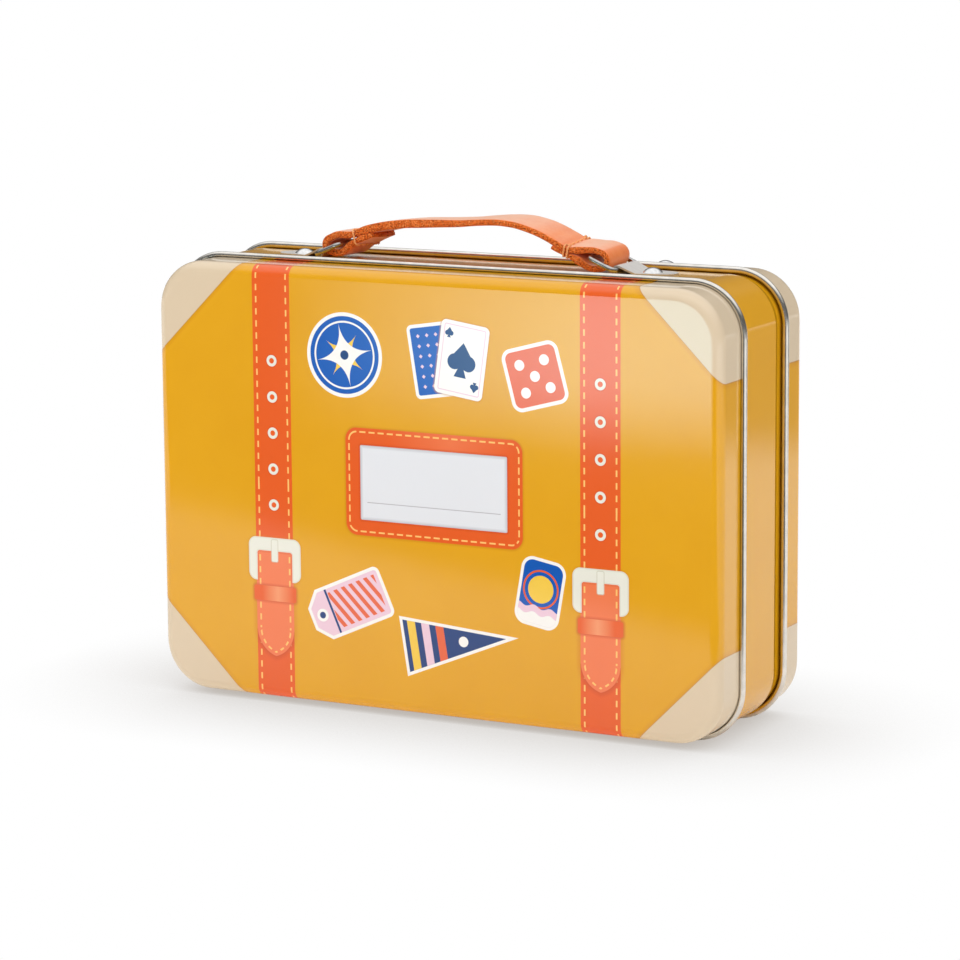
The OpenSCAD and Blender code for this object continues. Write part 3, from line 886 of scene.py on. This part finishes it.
stage = {
    "floorRadius": 9.0,
    "floor": "FAFAF9",
    "floorCloud": "F6F6F5",
    "shadow": "BDB6AF",  # where the tin touches the paper
    "shadowReach": 0.065,
    "sky": 1.18,
    "horizon": 0.12,
    "skyRise": (0.4, 0.75),
    "lights": {
        # name: (place, aim, width, height, watts)
        "keySoftbox": ((-0.6, -1.3, 0.75), (0, 0, 0.07), 0.8, 0.8, 8.9),
        "sideSoftbox": ((1.4, -0.35, 0.7), (0, 0, 0.07), 0.6, 0.6, 6.2),
        "rearSoftbox": ((-0.5, 1.4, 0.5), (0, 0, 0.07), 0.8, 0.8, 5.0),
        "underSoftbox": ((0.0, 0.0, -1.2), (0, 0, 0.0), 0.8, 0.8, 4.0),
    },
    "cards": {
        # name: (middle, width, height, lean, turn, brightness, soft edge, tint), seen by the gloss only
        "nearCard": ((-0.13, -1.56, 0.004), 1.95, 2.44, 0, 24.0, 0.08, (0.05, 0.03), "FFFFFF"),
        "farCard": ((1.06, 1.19, 0.004), 0.96, 2.0, 0, -23.0, 0.22, (0.03, 0.1), "FFFFFF"),
        "hazeCard": ((-0.10, -0.44, 0.061), 0.40, 0.098, 90, 0, 4.2, (0.15, 0.03), "CAF8FF"),
    },
}


def areaLight(name, spot, aim, width, height, watts):
    data = bpy.data.lights.new(name, "AREA")
    data.shape, data.size, data.size_y, data.energy = "RECTANGLE", width, height, watts
    lamp = bpy.data.objects.new(name, data)
    bpy.context.scene.collection.objects.link(lamp)
    lamp.location = spot
    lamp.visible_glossy = False  # no bright square in the metal
    lamp.rotation_mode = "QUATERNION"
    lamp.rotation_quaternion = (Vector(aim) - Vector(spot)).to_track_quat("-Z", "Y")


def mixShaders(tree, amount, first, second, out):  # the second shader shows where amount is 1
    blend = tree.nodes.new("ShaderNodeMixShader")
    for socket, slot in zip((amount.socket, first.outputs[0], second.outputs[0]), blend.inputs):
        tree.links.new(socket, slot)
    tree.links.new(blend.outputs[0], out.inputs[0])


def card(name, middle, width, height, lean, turn, brightness, edge, tint):
    mesh = bpy.data.meshes.new(name)
    mesh.from_pydata([(x * width / 2, y * height / 2, 0) for x, y in ((-1, -1), (1, -1), (1, 1), (-1, 1))],
                     [], [(0, 1, 2, 3)])
    piece = bpy.data.objects.new(name, mesh)
    bpy.context.scene.collection.objects.link(piece)
    piece.location = middle
    piece.rotation_euler = (math.radians(lean), 0, math.radians(turn))
    piece.visible_camera = piece.visible_diffuse = piece.visible_shadow = False
    material = bpy.data.materials.new(name)
    material.use_nodes = True
    tree = material.node_tree
    tree.nodes.clear()
    coords = tree.nodes.new("ShaderNodeTexCoord")
    x, y, _ = Field(tree, coords.outputs["Object"]).vector("ABSOLUTE").parts()
    soft = x.ramp(width / 2, width / 2 - edge[0]) * y.ramp(height / 2, height / 2 - edge[1])
    glow = tree.nodes.new("ShaderNodeEmission")
    glow.inputs["Color"].default_value = colour(tint)
    glow.inputs["Strength"].default_value = brightness
    clear = tree.nodes.new("ShaderNodeBsdfTransparent")
    mixShaders(tree, soft, clear, glow, tree.nodes.new("ShaderNodeOutputMaterial"))
    mesh.materials.append(material)


def makeFloor(s):
    form = bmesh.new()
    bmesh.ops.create_circle(form, cap_ends=True, radius=s["floorRadius"], segments=96)
    mesh = bpy.data.meshes.new("floor")
    form.to_mesh(mesh)
    form.free()
    floor = bpy.data.objects.new("floor", mesh)
    bpy.context.scene.collection.objects.link(floor)
    material, tree, shader, place, normal = newMaterial("paleFloor")
    paper = painted(colour(s["floor"]), colour(s["floorCloud"]), place.noise(6.0, 2.0))
    plug(shader, base=paper, rough=0.8, shine=0.1)
    # the paper lights the tin, but it is clear to the camera, to the lamps and from below, apart from a
    # contact shadow, so the open lid shows where it hangs lower than the paper
    path = tree.nodes.new("ShaderNodeLightPath")
    seen, lit = (Field(tree, path.outputs[kind]) for kind in ("Is Camera Ray", "Is Shadow Ray"))
    under = Field(tree, tree.nodes.new("ShaderNodeNewGeometry").outputs["Backfacing"])
    touch = tree.nodes.new("ShaderNodeAmbientOcclusion")
    touch.samples = 8
    touch.inputs["Distance"].default_value = s["shadowReach"]
    clear = tree.nodes.new("ShaderNodeBsdfTransparent")
    bare = Field(tree, touch.outputs["AO"]).high(1.0 - seen * (1.0 - under))
    tree.links.new(painted(colour(s["shadow"]), colour("FFFFFF"), bare).socket, clear.inputs[0])
    out = next(n for n in tree.nodes if n.type == "OUTPUT_MATERIAL")
    mixShaders(tree, seen.high(lit).high(under), shader, clear, out)
    mesh.materials.append(material)


def makeSky(s):
    world = bpy.data.worlds.new("studio")
    world.use_nodes = True
    tree = world.node_tree
    back = next(n for n in tree.nodes if n.type == "BACKGROUND")
    back.inputs["Color"].default_value = (1, 1, 1, 1)
    coords = tree.nodes.new("ShaderNodeTexCoord")
    z = Field(tree, coords.outputs["Generated"]).parts()[2]
    sky = z.ramp(*s["skyRise"], s["horizon"], s["sky"]) * z.over(0.0)
    seen = Field(tree, tree.nodes.new("ShaderNodeLightPath").outputs["Is Camera Ray"])
    tree.links.new(sky.high(seen).socket, back.inputs["Strength"])  # the backdrop itself is plain white
    bpy.context.scene.world = world
    bpy.context.scene.view_settings.view_transform = "Standard"


makeFloor(stage)
for name, values in stage["lights"].items():
    areaLight(name, *values)
for name, values in stage["cards"].items():
    card(name, *values)
makeSky(stage)
print("stage is lit")
